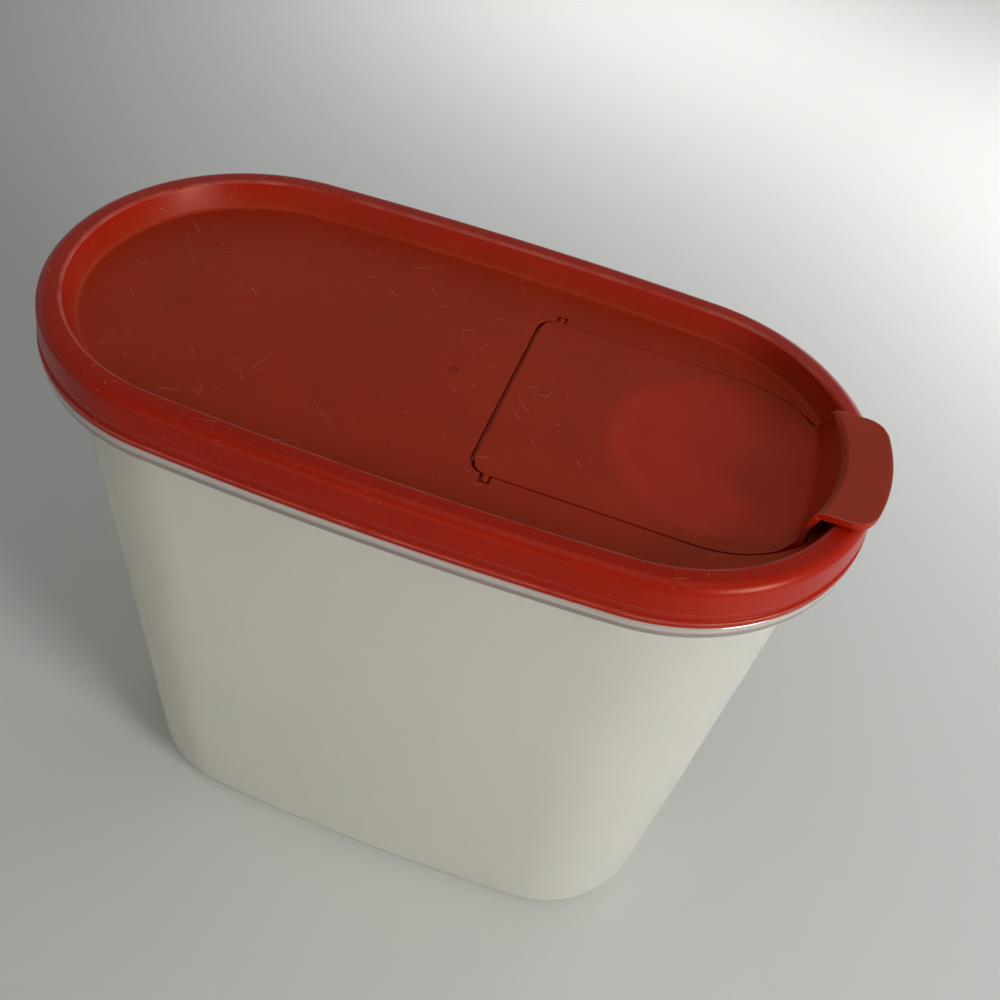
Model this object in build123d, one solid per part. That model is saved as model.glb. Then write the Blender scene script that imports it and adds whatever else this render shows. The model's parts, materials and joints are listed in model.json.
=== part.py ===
from build123d import *
from math import atan2, cos, degrees, radians, sin, sqrt, tan
import os

# Tall oval food keeper: a milky moulded tub, a red moulded seal that presses
# over its rim, and a red pour flap hinged in the seal's sunk panel.
# The tub stands on z = 0 with the origin at the centre of its base.
# +X points to the pour flap's thumb tab, +Y across, +Z up. Sizes are in mm.

# Overall oval, four tangent arcs, seen from above at the seal's widest line
seal_length = 240.0
seal_width = 123.0
side_bow = 1.8

# Heights of the tub and of the seal's own levels above its bottom edge
seal_height_on_tub = 215.0
crest_rise = 13.5
panel_sink = 7.7

# Tub
tub_wall = 1.8
tub_floor = 2.2
tub_draft_deg = 2.25
tub_mouth_inset = 8.05
tub_base_radius = 14.0

# Tub rim: lip inside the seal's channel, shelf, and outer flange below the seal
lip_wall = 1.8
lip_round = 0.8
flange_inset = 0.35
flange_wall = 1.5
flange_drop = 2.35
flange_round = 1.3
flange_edge_round = 0.5

# Seal section, insets are measured in from the widest line
seal_wall = 1.5
bead_height = 1.7
bead_proud = 0.8
bead_inset = 0.2
bead_low_round = 0.4
bead_high_round = 0.6
bead_slope_rise = 0.4
groove_height = 2.6
skirt_step = 0.3
skirt_lean = 1.05
crest_outer_radius = 3.3
crest_inner_radius = 1.2
crest_inner_inset = 8.15
panel_inset = 10.9
panel_corner_radius = 1.5
channel_corner_radius = 1.4

# Pour flap, seen from above: straight sides and a round end
flap_half_width = 34.3
flap_straight_length = 59.5
flap_corner_radius = 4.5
flap_thickness = 1.6

# Dish in the flap, set in from the flap's round end, and the plug ring below it
dish_margin = 3.3
dish_depth = 0.6
dish_slope_run = 1.6
plug_margin = 6.0
plug_wall = 1.4
plug_depth = 3.8

# Hinge: round lugs on the flap's sides, seats in the seal
hinge_behind_x = 4.7
lug_radius = 1.2
lug_length = 2.6
seat_wall = 1.3
collar_drop = 1.5

# Thumb tab, which rises from the flap's round end and passes over the crest
tab_half_width = 20.7
tab_thickness = 1.6
tab_top_over_crest = 3.8
tab_root_to_panel_edge = 5.75
tab_rise_run = 6.6
tab_root_run = 7.0
tab_root_setback = 1.8
tab_root_pull = 0.1
tab_lean = 1.3
tab_shoulder_fall = 0.9
tab_root_radius = 3.0
tab_shoulder_radius = 5.0
tab_under_radius = 3.4
tab_corner_radius = 4.5
tab_tip_inset = 0.3

# Small gate mark left by moulding at the middle of the panel
gate_x = -0.7
gate_radius = 1.4
gate_depth = 0.3
gate_pip_radius = 0.45

# Clearances
seal_seat_gap = 0.25
roof_gap = 0.4
lip_side_gap = 0.35
flap_side_gap = 0.4
flap_heel_gap = 1.3
flap_floor_gap = 0.3
plug_gap = 0.5
trough_gap = 0.35
lug_seat_gap = 0.1
lug_end_gap = 0.5
notch_side_gap = 0.4
tab_under_gap = 0.4
overlap = 1.0

# Levels
skirt_z = seal_height_on_tub
crest_z = skirt_z + crest_rise
panel_z = crest_z - panel_sink
panel_under_z = panel_z - seal_wall
shelf_z = skirt_z - seal_seat_gap
shelf_under_z = shelf_z - flange_wall
flange_z = shelf_under_z - flange_drop
roof_z = crest_z - seal_wall
lip_z = roof_z - roof_gap
flap_under_z = panel_z - flap_thickness
pocket_z = flap_under_z - flap_floor_gap
tray_z = pocket_z - seal_wall
collar_z = tray_z - collar_drop
dish_z = panel_z - dish_depth
hinge_z = panel_z - lug_radius

# Insets of the seal's section that the tub's lip follows
groove_inset = bead_inset + bead_proud
skirt_inset = groove_inset - skirt_step
crest_outer_inset = skirt_inset + skirt_lean
lip_inset = crest_outer_inset + seal_wall + lip_side_gap

# The four-arc oval
end_radius = seal_width / 2 - side_bow
end_x = seal_length / 2 - end_radius
side_radius = (end_x**2 + (seal_width / 2) ** 2 - end_radius**2) / (2 * side_bow)
side_y = side_radius - seal_width / 2
end_half_angle = degrees(atan2(side_y, end_x))

# The flap's places along the seal: the tab's root, then the round end, heel and hinge
tab_root_x = seal_length / 2 - panel_inset - tab_root_to_panel_edge
flap_round_centre_x = tab_root_x - sqrt(flap_half_width**2 - tab_half_width**2)
flap_heel_x = flap_round_centre_x - flap_straight_length
hinge_x = flap_heel_x + hinge_behind_x
dish_radius = flap_half_width - dish_margin
plug_radius = dish_radius - plug_margin


def oval(inset):
    """The oval as a face, drawn in all round by the inset."""
    half_length = seal_length / 2 - inset
    half_width = seal_width / 2 - inset
    join_x = end_x + (end_radius - inset) * cos(radians(end_half_angle))
    join_y = (end_radius - inset) * sin(radians(end_half_angle))
    arcs = [
        ThreePointArc((join_x, -join_y), (half_length, 0), (join_x, join_y)),
        ThreePointArc((join_x, join_y), (0, half_width), (-join_x, join_y)),
        ThreePointArc((-join_x, join_y), (-half_length, 0), (-join_x, -join_y)),
        ThreePointArc((-join_x, -join_y), (0, -half_width), (join_x, -join_y)),
    ]
    return make_face(arcs)


def oval_plate(inset, low_z, high_z):
    """A straight-sided oval plate between two levels."""
    return extrude(Pos(0, 0, low_z) * oval(inset), high_z - low_z)


def oval_taper(low_inset, low_z, high_inset, high_z):
    """An oval solid whose sides lean from one inset to another."""
    return loft([Pos(0, 0, low_z) * oval(low_inset), Pos(0, 0, high_z) * oval(high_inset)], ruled=True)


def section(corners):
    """A closed section from (inset, z, corner radius) rows, drawn with x = -inset."""
    points = [(-inset, z) for inset, z, radius in corners]
    radii = [radius for inset, z, radius in corners]
    return make_face(FilletPolyline(*points, radius=radii, close=True))


def around_oval(profile):
    """The section carried right round the oval, one turn for each of its arcs."""
    side_half_angle = 90 - end_half_angle
    turns = [
        (end_x, 0, end_radius, -end_half_angle, 2 * end_half_angle),
        (0, -side_y, side_radius, end_half_angle, 2 * side_half_angle),
        (-end_x, 0, end_radius, 180 - end_half_angle, 2 * end_half_angle),
        (0, side_y, side_radius, 180 + end_half_angle, 2 * side_half_angle),
    ]
    ring = Part()
    for centre_x, centre_y, radius, start, turn in turns:
        away = (cos(radians(start)), sin(radians(start)), 0)
        across = (sin(radians(start)), -cos(radians(start)), 0)
        plane = Plane(origin=(centre_x, centre_y, 0), x_dir=away, z_dir=across)
        placed = plane * Pos(radius, 0) * profile
        ring += revolve(placed, Axis((centre_x, centre_y, 0), (0, 0, 1)), turn)
    return ring


def disc(centre_x, radius, low_z, high_z):
    """An upright round solid on the flap's centre line."""
    return Pos(centre_x, 0, low_z) * extrude(Circle(radius), high_z - low_z)


def block(low_x, high_x, low_y, high_y, low_z, high_z):
    """A box between two corners."""
    size = (high_x - low_x, high_y - low_y, high_z - low_z)
    middle = ((low_x + high_x) / 2, (low_y + high_y) / 2, (low_z + high_z) / 2)
    return Pos(*middle) * Box(*size)


def hinge_rod(radius, low_y, high_y):
    """A round bar along the hinge axis."""
    bar = extrude(Circle(radius), high_y - low_y)
    return Pos(hinge_x, high_y, hinge_z) * Rot(90, 0, 0) * bar


def flap_plan(growth, heel_growth, corner_growth):
    """The flap's outline from above, grown by a gap: straight sides and a round end."""
    half = flap_half_width + growth
    heel = flap_heel_x - heel_growth
    corner = flap_corner_radius + corner_growth
    sides = Pos((heel + flap_round_centre_x) / 2, 0) * Rectangle(flap_round_centre_x - heel, 2 * half)
    sides = fillet(sides.vertices().group_by(Axis.X)[0], corner)
    end = Pos(flap_round_centre_x, 0) * Circle(half)
    reach = tab_root_x + growth
    keep = Pos((heel + reach) / 2, 0) * Rectangle(reach - heel, 4 * half)
    return (sides + end) & keep


def build_container():
    """The tub: drafted wall, rounded base, and a rim with lip, shelf and flange."""
    base_inset = tub_mouth_inset + shelf_under_z * tan(radians(tub_draft_deg))
    outside = oval_taper(base_inset, 0, tub_mouth_inset, shelf_under_z)
    outside = fillet(outside.edges().group_by(Axis.Z)[0], tub_base_radius)
    floor_inset = base_inset - tub_floor * tan(radians(tub_draft_deg)) + tub_wall
    mouth_inset = tub_mouth_inset + tub_wall
    inside = oval_taper(floor_inset, tub_floor, mouth_inset, shelf_under_z)
    inside = fillet(inside.edges().group_by(Axis.Z)[0], tub_base_radius - tub_wall)
    lip_inner = lip_inset + lip_wall
    flange_inner = flange_inset + flange_wall
    rim = [
        (mouth_inset, shelf_under_z, 0),
        (mouth_inset, shelf_z, lip_round),
        (lip_inner, shelf_z, lip_round),
        (lip_inner, lip_z, lip_round),
        (lip_inset, lip_z, lip_round),
        (lip_inset, shelf_z, flange_edge_round),
        (flange_inset, shelf_z, flange_round),
        (flange_inset, flange_z, flange_edge_round),
        (flange_inner, flange_z, flange_edge_round),
        (flange_inner, shelf_under_z, flange_edge_round),
    ]
    return outside - inside + around_oval(section(rim))


def build_seal():
    """The seal: gripping rim, sunk panel, pocket for the flap, pour mouth and hinge seats."""
    bead_top = skirt_z + bead_height
    groove_top = bead_top + groove_height
    inner_lean = (panel_inset - crest_inner_inset) / panel_sink
    channel_step = seal_wall * (1 - inner_lean)
    rim_reach = panel_inset + panel_corner_radius + overlap
    rim = [
        (groove_inset + seal_wall - skirt_step, skirt_z, 0),
        (bead_inset, skirt_z, bead_low_round),
        (bead_inset, bead_top, bead_high_round),
        (groove_inset, bead_top + bead_slope_rise, skirt_step),
        (groove_inset, groove_top, 0),
        (skirt_inset, groove_top + skirt_step, 0),
        (crest_outer_inset, crest_z, crest_outer_radius),
        (crest_inner_inset, crest_z, crest_inner_radius),
        (panel_inset, panel_z, panel_corner_radius),
        (rim_reach, panel_z, 0),
        (rim_reach, panel_under_z, 0),
        (panel_inset - channel_step, panel_under_z, panel_corner_radius),
        (crest_inner_inset - channel_step, roof_z, lip_round),
        (crest_outer_inset + seal_wall, roof_z, channel_corner_radius),
    ]
    seal = around_oval(section(rim))
    seal += oval_plate(rim_reach - overlap, panel_under_z, panel_z)

    # Tray below the panel that carries the flap, its trough and its hinge seats
    tray_wall = flap_side_gap + seal_wall
    tray_plan = flap_plan(tray_wall, flap_heel_gap + seal_wall, tray_wall)
    seal += extrude(Pos(0, 0, tray_z) * tray_plan, panel_z - tray_z - overlap / 2)
    trough_radius = sqrt(hinge_behind_x**2 + lug_radius**2) + trough_gap
    pocket_half = flap_half_width + flap_side_gap
    shell = hinge_rod(trough_radius + seal_wall, -pocket_half - seal_wall, pocket_half + seal_wall)
    below_panel = block(0, seal_length / 2, -seal_width, seal_width, 0, panel_under_z + overlap / 2)
    seal += shell & below_panel
    notch_reach = flap_half_width + lug_length + lug_end_gap
    notch_half = lug_radius + notch_side_gap
    boss_half = notch_half + seal_wall
    for side in (-1, 1):
        near, far = sorted((side * (pocket_half - overlap), side * (notch_reach + seal_wall)))
        boss_low = hinge_z - lug_radius - lug_seat_gap - seat_wall
        boss_high = panel_under_z + overlap / 2
        seal += block(hinge_x - boss_half, hinge_x + boss_half, near, far, boss_low, boss_high)

    # Collar round the pour mouth
    mouth_radius = plug_radius + plug_gap
    seal += disc(flap_round_centre_x, mouth_radius + seal_wall, collar_z, tray_z + overlap / 2)

    # Pocket, mouth, trough and hinge notches are open from above
    pocket_plan = flap_plan(flap_side_gap, flap_heel_gap, flap_side_gap + flap_heel_gap / 2)
    seal -= extrude(Pos(0, 0, pocket_z) * pocket_plan, panel_z - pocket_z + overlap)
    seal -= disc(flap_round_centre_x, mouth_radius, collar_z - overlap, panel_z)
    trough = hinge_rod(trough_radius, -pocket_half, pocket_half)
    seal -= trough & block(0, seal_length / 2, -seal_width, seal_width, 0, pocket_z + overlap / 4)
    for side in (-1, 1):
        near, far = sorted((side * (pocket_half - overlap), side * notch_reach))
        seal -= hinge_rod(lug_radius + lug_seat_gap, near, far)
        seal -= block(hinge_x - notch_half, hinge_x + notch_half, near, far, hinge_z, panel_z + overlap)

    gate = disc(gate_x, gate_radius, panel_z - gate_depth, panel_z + overlap)
    gate -= disc(gate_x, gate_pip_radius, panel_z - gate_depth, panel_z + overlap)
    return seal - gate


def tab_section(y):
    """The thumb tab cut across at y: each corner keeps its distance from the oval end's centre."""
    top_z = crest_z + tab_top_over_crest
    shoulder_z = top_z - tab_shoulder_fall
    rise_x = tab_root_x - tab_root_setback
    start_x = tab_root_x - tab_root_run

    def pulled(x, share):
        reach = x - end_x
        return x - share * (reach - sqrt(reach**2 - y**2))

    tip_x = seal_length / 2 + overlap
    corners = [
        (start_x, dish_z, 0, 0),
        (rise_x, dish_z, tab_root_pull, tab_root_radius),
        (rise_x + tab_rise_run, shoulder_z, 1, tab_shoulder_radius),
        (tip_x, top_z, 1, 0),
        (tip_x, top_z - tab_thickness, 1, 0),
        (rise_x + tab_rise_run + tab_lean, shoulder_z - tab_thickness, 1, tab_under_radius),
        (tab_root_x, panel_z + tab_under_gap, 0, 0),
        (tab_root_x, flap_under_z, 0, 0),
        (start_x, flap_under_z, 0, 0),
    ]
    points = [(pulled(x, share), z) for x, z, share, radius in corners]
    radii = [radius for x, z, share, radius in corners]
    plane = Plane(origin=(0, y, 0), x_dir=(1, 0, 0), z_dir=(0, -1, 0))
    return plane * make_face(FilletPolyline(*points, radius=radii, close=True))


def build_tab():
    """The thumb tab, rising from the flap and trimmed to round corners."""
    stations = [side * tab_half_width for side in (-1, -0.5, 0, 0.5, 1)]
    arch = loft([tab_section(y) for y in stations])
    start_x = tab_root_x - tab_root_run - overlap
    round_end = Pos(end_x, 0) * Circle(end_radius - tab_tip_inset)
    strip = Pos((start_x + seal_length) / 2, 0) * Rectangle(seal_length - start_x, 2 * tab_half_width)
    plan = round_end & strip
    plan = fillet(plan.vertices().group_by(Axis.X)[-1], tab_corner_radius)
    return arch & extrude(Pos(0, 0, tray_z) * plan, crest_z + 2 * tab_top_over_crest - tray_z)


def build_flap():
    """The pour flap: plate with dish, plug ring, hinge lugs and thumb tab."""
    flap = extrude(Pos(0, 0, flap_under_z) * flap_plan(0, 0, 0), flap_thickness)
    plug_z = flap_under_z - plug_depth
    flap += disc(flap_round_centre_x, plug_radius, plug_z, flap_under_z)
    flap -= disc(flap_round_centre_x, plug_radius - plug_wall, plug_z, flap_under_z - dish_depth)
    bowl = [
        (0, dish_z),
        (dish_radius - dish_slope_run, dish_z),
        (dish_radius, panel_z),
        (dish_radius, panel_z + overlap),
        (0, panel_z + overlap),
    ]
    bowl_face = Plane.XZ * make_face(Polyline(*bowl, close=True))
    flap -= Pos(flap_round_centre_x, 0, 0) * revolve(bowl_face, Axis.Z)
    flap += build_tab()
    for side in (-1, 1):
        near, far = sorted((side * (flap_half_width - overlap), side * (flap_half_width + lug_length)))
        flap += hinge_rod(lug_radius, near, far)
    return flap


os.makedirs("parts", exist_ok=True)
pieces = {
    "container": build_container(),
    "seal": build_seal(),
    "pour_flap": build_flap(),
}
for name, piece in pieces.items():
    export_step(piece, f"parts/{name}.step")
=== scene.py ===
"""A tall oval food keeper: milky tub, red press-on seal and red pour flap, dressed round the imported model."""
import json
import math

import bmesh
import bpy
from bpy.props import FloatProperty, PointerProperty, StringProperty
from bpy.types import Operator, Panel, PropertyGroup
from mathutils import Matrix, Quaternion, Vector


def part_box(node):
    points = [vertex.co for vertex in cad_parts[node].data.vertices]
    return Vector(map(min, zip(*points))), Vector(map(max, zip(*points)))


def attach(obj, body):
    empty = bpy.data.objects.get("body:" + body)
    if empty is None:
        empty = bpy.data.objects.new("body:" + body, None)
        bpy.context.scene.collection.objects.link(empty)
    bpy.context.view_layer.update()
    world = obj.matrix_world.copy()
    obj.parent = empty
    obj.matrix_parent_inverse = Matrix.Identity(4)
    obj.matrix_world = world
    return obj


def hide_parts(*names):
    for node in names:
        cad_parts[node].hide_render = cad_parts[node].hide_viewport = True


bl_info = {
    "name": "Oval Pour Keeper",
    "version": (1, 0, 0),
    "blender": (4, 5, 0),
    "location": "View3D > Sidebar > Keeper",
    "description": "Builds an oval food keeper with a press-on seal and a hinged pour flap",
    "category": "Object",
}

MM = 0.001
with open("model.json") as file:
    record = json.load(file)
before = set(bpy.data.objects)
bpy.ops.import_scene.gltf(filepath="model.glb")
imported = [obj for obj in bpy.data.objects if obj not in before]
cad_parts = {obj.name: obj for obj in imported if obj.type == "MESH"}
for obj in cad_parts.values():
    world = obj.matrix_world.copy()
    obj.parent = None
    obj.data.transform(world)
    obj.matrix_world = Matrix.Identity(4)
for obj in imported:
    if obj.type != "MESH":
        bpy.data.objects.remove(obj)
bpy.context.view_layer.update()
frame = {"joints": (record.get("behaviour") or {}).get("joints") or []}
SEAL_LOW, SEAL_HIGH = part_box("seal")
TUB_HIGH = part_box("container")[1]
FLAP_LOW, FLAP_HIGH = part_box("pour_flap")
HINGE = next(joint for joint in frame["joints"] if joint["name"] == "flap_hinge")["pos_m"]

# In millimetres: the seal's bead in from the oval's widest line, and the crest above the bead's foot
BEAD_INSET = 0.2
CREST_RISE = 13.5


def length(name, default, description):
    """A size property in metres, from a size in millimetres."""
    return FloatProperty(name=name, description=description, default=default * MM, unit="LENGTH", precision=5)


def tint(name, default, description):
    """A colour property from an sRGB hex value."""
    return StringProperty(name=name, description=description, default=default)


class KeeperOval(PropertyGroup):
    """The four-arc oval that the tub and seal share, at the seal's widest line."""

    length: length("Length", (SEAL_HIGH.x - SEAL_LOW.x) / MM + 2 * BEAD_INSET, "Over the oval's ends")
    width: length("Width", (SEAL_HIGH.y - SEAL_LOW.y) / MM + 2 * BEAD_INSET, "Over the oval's sides")
    side_bow: length("Side bow", 1.8, "How far each long side bows out past the end arcs")
    rest_height: length("Seal height", SEAL_HIGH.z / MM - CREST_RISE, "The seal's foot above the floor")


class KeeperTub(PropertyGroup):
    """Sizes of the tub."""

    wall: length("Wall", 1.8, "Thickness of the tub's wall")
    floor: length("Floor", 2.2, "Thickness of the tub's floor")
    mouth_inset: length("Mouth inset", 8.05, "The wall's outside below the rim, in from the widest line")
    draft: FloatProperty(
        name="Draft",
        description="How far the wall leans in towards the base",
        default=math.radians(2.25),
        subtype="ANGLE",
    )
    base_radius: length("Base rounding", 14.0, "Radius where the wall turns into the base")
    lip_inset: length("Lip inset", 3.6, "The lip's outside, in from the widest line")
    flange_inset: length("Flange inset", 0.35, "The flange's outside, in from the widest line")
    flange_wall: length("Flange wall", 1.5, "Thickness of the flange")
    flange_drop: length("Flange drop", 2.35, "How far the flange hangs below the shelf")


class KeeperSeal(PropertyGroup):
    """Sizes of the seal."""

    wall: length("Wall", 1.5, "Thickness of the seal's wall")
    crest_rise: length("Crest rise", CREST_RISE, "The crest above the seal's bottom edge")
    panel_sink: length("Panel sink", 7.7, "The sunk panel below the crest")
    bead_inset: length("Bead inset", BEAD_INSET, "The bottom bead's outside, in from the widest line")
    groove_inset: length("Groove inset", 1.0, "The groove above the bead, in from the widest line")
    skirt_inset: length("Skirt inset", 0.7, "The foot of the outer wall, in from the widest line")
    shoulder_inset: length("Shoulder inset", 1.75, "The outer wall at the crest, in from the widest line")
    crest_inset: length("Crest inset", 8.15, "The crest's inner edge, in from the widest line")
    panel_inset: length("Panel inset", 10.9, "The panel's edge, in from the widest line")
    shoulder_radius: length("Shoulder radius", 3.3, "Rounding of the crest's outer edge")


class KeeperFlap(PropertyGroup):
    """Sizes of the pour flap and of the pocket that it lies in."""

    heel_x: length("Heel", FLAP_LOW.x / MM, "The hinge-side edge along the keeper")
    half_width: length("Half width", 34.3, "Half of the plate's width")
    corner_radius: length("Corner radius", 4.5, "Rounding of the plate's hinge-side corners")
    round_centre_x: length("Round end centre", 76.0, "Centre of the round end and the dish")
    thickness: length("Thickness", 1.6, "Thickness of the plate and the tab")
    dish_radius: length("Dish radius", 31.0, "Radius of the shallow dish")
    dish_depth: length("Dish depth", 0.4, "Depth of the shallow dish")
    plug_radius: length("Plug radius", 25.0, "Outside radius of the plug ring")
    plug_depth: length("Plug depth", 3.8, "How far the plug ring hangs below the plate")
    tab_half_width: length("Tab half width", 20.7, "Half of the thumb tab's width")
    tab_over_crest: length("Tab over crest", (FLAP_HIGH.z - SEAL_HIGH.z) / MM, "The tip above the crest")
    side_gap: length("Side gap", 0.4, "Gap between the plate and the pocket's sides")
    heel_gap: length("Heel gap", 1.3, "Gap between the plate and the pocket's hinge side")
    lug_radius: length("Lug radius", 1.2, "Radius of the hinge lugs")
    lug_length: length("Lug length", 2.6, "How far the lugs stand out of the plate's sides")


class KeeperColours(PropertyGroup):
    """Colours as sRGB hex values."""

    seal: tint("Seal", "#A01A04", "Red of the polished walls of the seal and the flap")
    # The dustier red has a greyish sheen painted in, a painted reflection of a bright room above
    seal_matt_and_sheen: tint("Matt red", "#992A10", "Dustier red of the etched panel and flap")
    seal_dish: tint("Dish red", "#A82915", "Purer red in the flap's dish")
    # The pale red also paints highlights on the tightly curved edges
    seal_worn_and_highlight: tint("Rubbed red", "#D08F80", "Paler red of rubbed edges and scratches")
    tub: tint("Tub", "#FEFBEE", "Milky body of the tub")
    flange: tint("Flange", "#CABEB4", "Clearer polished flange")
    # The flange's lower band is painted darker: painted shade on its hanging face
    flange_low: tint("Flange edge", "#9C9189", "The flange's lower band, where the dark gap behind shows")
    floor: tint("Floor", "#CFD0CD", "Plain pale floor")


def linear(hex_colour):
    """An sRGB hex colour as a linear RGBA value."""
    channels = [int(hex_colour[k : k + 2], 16) / 255 for k in (1, 3, 5)]
    return [c / 12.92 if c <= 0.04045 else ((c + 0.055) / 1.055) ** 2.4 for c in channels] + [1.0]


def node(tree, kind, settings=(), links=()):
    """Adds a node, gives its sockets or attributes their values, and links its inputs."""
    made = tree.nodes.new(kind)
    for key, value in dict(settings).items():
        if isinstance(key, int) or key in made.inputs:
            made.inputs[key].default_value = value
        else:
            setattr(made, key, value)
    for key, source in dict(links).items():
        tree.links.new(source, made.inputs[key])
    return made


def blank_material(name):
    """A material with only an output, and its node tree."""
    material = bpy.data.materials.new(name)
    material.use_nodes = True
    material.node_tree.nodes.clear()
    return material, material.node_tree


# Geometry shared by the pieces


def smooth_step(value):
    """0 below 0, 1 above 1, and a smooth rise between."""
    value = min(1, max(0, value))
    return value * value * (3 - 2 * value)


def oval_arcs(oval):
    """The end arcs' radius and centre x, and the side arcs' radius and centre y."""
    end_radius = oval.width / 2 - oval.side_bow
    end_x = oval.length / 2 - end_radius
    side_radius = (end_x**2 + (oval.width / 2) ** 2 - end_radius**2) / (2 * oval.side_bow)
    return end_radius, end_x, side_radius, side_radius - oval.width / 2


def oval_ring(oval):
    """Points (x, y, outward x, outward y) round the oval's four arcs."""
    end_radius, end_x, side_radius, side_y = oval_arcs(oval)
    end_half = math.atan2(side_y, end_x)
    side_half = math.pi / 2 - end_half
    arcs = [
        (end_x, 0, end_radius, -end_half, end_half, 96),
        (0, -side_y, side_radius, end_half, end_half + 2 * side_half, 48),
        (-end_x, 0, end_radius, math.pi - end_half, math.pi + end_half, 96),
        (0, side_y, side_radius, math.pi + end_half, math.pi + end_half + 2 * side_half, 48),
    ]
    ring = []
    for centre_x, centre_y, radius, start, stop, steps in arcs:
        for k in range(steps):
            angle = start + (stop - start) * k / steps
            out_x, out_y = math.cos(angle), math.sin(angle)
            ring.append((centre_x + radius * out_x, centre_y + radius * out_y, out_x, out_y))
    return ring


def oval_inset(oval, point):
    """How far a point lies in from the seal's widest line."""
    end_radius, end_x, side_radius, side_y = oval_arcs(oval)
    x, y = abs(point.x), abs(point.y)
    if x > end_x and y * end_x < side_y * (x - end_x) or (x - end_x) * side_y > y * end_x:
        return end_radius - math.hypot(x - end_x, y)
    return side_radius - math.hypot(x, y + side_y)


def circle_ring(centre_x, radius, steps=128):
    """Points (x, y, outward x, outward y) round a circle on the keeper's middle line."""
    angles = [2 * math.pi * k / steps for k in range(steps)]
    return [(centre_x + radius * math.cos(a), radius * math.sin(a), math.cos(a), math.sin(a)) for a in angles]


def rounded(corners, step=math.radians(11)):
    """A path through (across, up, radius) corners, each rounded by an arc of its radius."""
    path = []
    for index, (across, up, radius) in enumerate(corners):
        here = Vector((across, up))
        if not radius or index in (0, len(corners) - 1):
            path.append(here)
            continue
        back = (Vector(corners[index - 1][:2]) - here).normalized()
        ahead = (Vector(corners[index + 1][:2]) - here).normalized()
        half = back.angle(ahead) / 2
        turn = math.pi - 2 * half
        side = 1 if back.cross(ahead) < 0 else -1
        centre = here + (back + ahead).normalized() * radius / math.sin(half)
        spoke = here + back * radius / math.tan(half) - centre
        steps = max(3, math.ceil(turn / step))
        for k in range(steps + 1):
            path.append(centre + Matrix.Rotation(side * turn * k / steps, 2) @ spoke)
    return path


def sweep(ring, path):
    """A closed mesh: the (inset, height) path carried round the ring, with flat caps at both ends."""
    made = bmesh.new()
    loops = [[made.verts.new((x - i * ox, y - i * oy, z)) for x, y, ox, oy in ring] for i, z in path]
    count = len(ring)
    for lower, upper in zip(loops, loops[1:]):
        for k in range(count):
            made.faces.new((lower[k], lower[(k + 1) % count], upper[(k + 1) % count], upper[k]))
    made.faces.new(loops[0])
    made.faces.new(loops[-1])
    bmesh.ops.recalc_face_normals(made, faces=made.faces)
    return made


def prism(outline, low_z, high_z):
    """A closed straight-sided mesh over a flat outline of (x, y) points."""
    made = bmesh.new()
    bottom = [made.verts.new((x, y, low_z)) for x, y in outline]
    face = made.faces.new(bottom)
    top = bmesh.ops.extrude_face_region(made, geom=[face])["geom"]
    for vertex in top:
        if isinstance(vertex, bmesh.types.BMVert):
            vertex.co.z = high_z
    bmesh.ops.recalc_face_normals(made, faces=made.faces)
    return made


def bar(radius, low_y, high_y, steps=48):
    """A closed round bar along the hinge axis."""
    made = bmesh.new()
    middle = Matrix.Translation((HINGE[0], (low_y + high_y) / 2, HINGE[2]))
    bmesh.ops.create_cone(
        made,
        cap_ends=True,
        segments=steps,
        radius1=radius,
        radius2=radius,
        depth=high_y - low_y,
        matrix=middle @ Matrix.Rotation(math.pi / 2, 4, "X"),
    )
    return made


def trough(radius, half_length, top_z, steps=48):
    """The part of a round bar along the hinge axis that lies below a level."""
    side = math.asin((top_z - HINGE[2]) / radius)
    angles = [math.pi - side + (math.pi + 2 * side) * k / steps for k in range(steps + 1)]
    arc = [(HINGE[0] + radius * math.cos(a), HINGE[2] + radius * math.sin(a)) for a in angles]
    made = bmesh.new()
    near, far = ([made.verts.new((x, y, z)) for x, z in arc] for y in (-half_length, half_length))
    made.faces.new(near)
    made.faces.new(far)
    for k in range(len(near)):
        after = (k + 1) % len(near)
        made.faces.new((near[k], near[after], far[after], far[k]))
    bmesh.ops.recalc_face_normals(made, faces=made.faces)
    return made


def box(low, high):
    """A closed box between two corners."""
    outline = [(low[0], low[1]), (high[0], low[1]), (high[0], high[1]), (low[0], high[1])]
    return prism(outline, low[2], high[2])


def piece_from(name, mesh_code):
    """A scene object from mesh code."""
    mesh = bpy.data.meshes.new(name)
    mesh_code.to_mesh(mesh)
    mesh_code.free()
    piece = bpy.data.objects.new(name, mesh)
    bpy.context.scene.collection.objects.link(piece)
    return piece


def combine(piece, operation, tools):
    """Joins the tools to the piece, or cuts them out of it."""
    helpers = [piece_from(f"helper_{k}", tool) for k, tool in enumerate(tools)]
    for helper in helpers:
        change = piece.modifiers.new("combine", "BOOLEAN")
        change.operation = operation
        change.solver = "EXACT"
        change.object = helper
    settle(piece)
    for helper in helpers:
        bpy.data.objects.remove(helper)


def settle(piece):
    """Turns the piece's modifiers into its mesh."""
    bpy.context.view_layer.update()
    result = bpy.data.meshes.new_from_object(piece.evaluated_get(bpy.context.evaluated_depsgraph_get()))
    piece.modifiers.clear()
    piece.data = result


def soften_edges(piece, chosen, width):
    """Rounds the edges sharper than 50 degrees for which chosen(edge) is true."""
    work = bmesh.new()
    work.from_mesh(piece.data)
    bmesh.ops.remove_doubles(work, verts=work.verts, dist=0.01 * MM)
    least = math.radians(50)
    paired = [edge for edge in work.edges if len(edge.link_faces) == 2]
    sharp = [edge for edge in paired if edge.calc_face_angle() > least and chosen(edge)]
    bmesh.ops.bevel(
        work,
        geom=sharp,
        offset=width,
        segments=2,
        profile=0.5,
        affect="EDGES",
        clamp_overlap=False,
    )
    work.to_mesh(piece.data)
    work.free()


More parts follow.
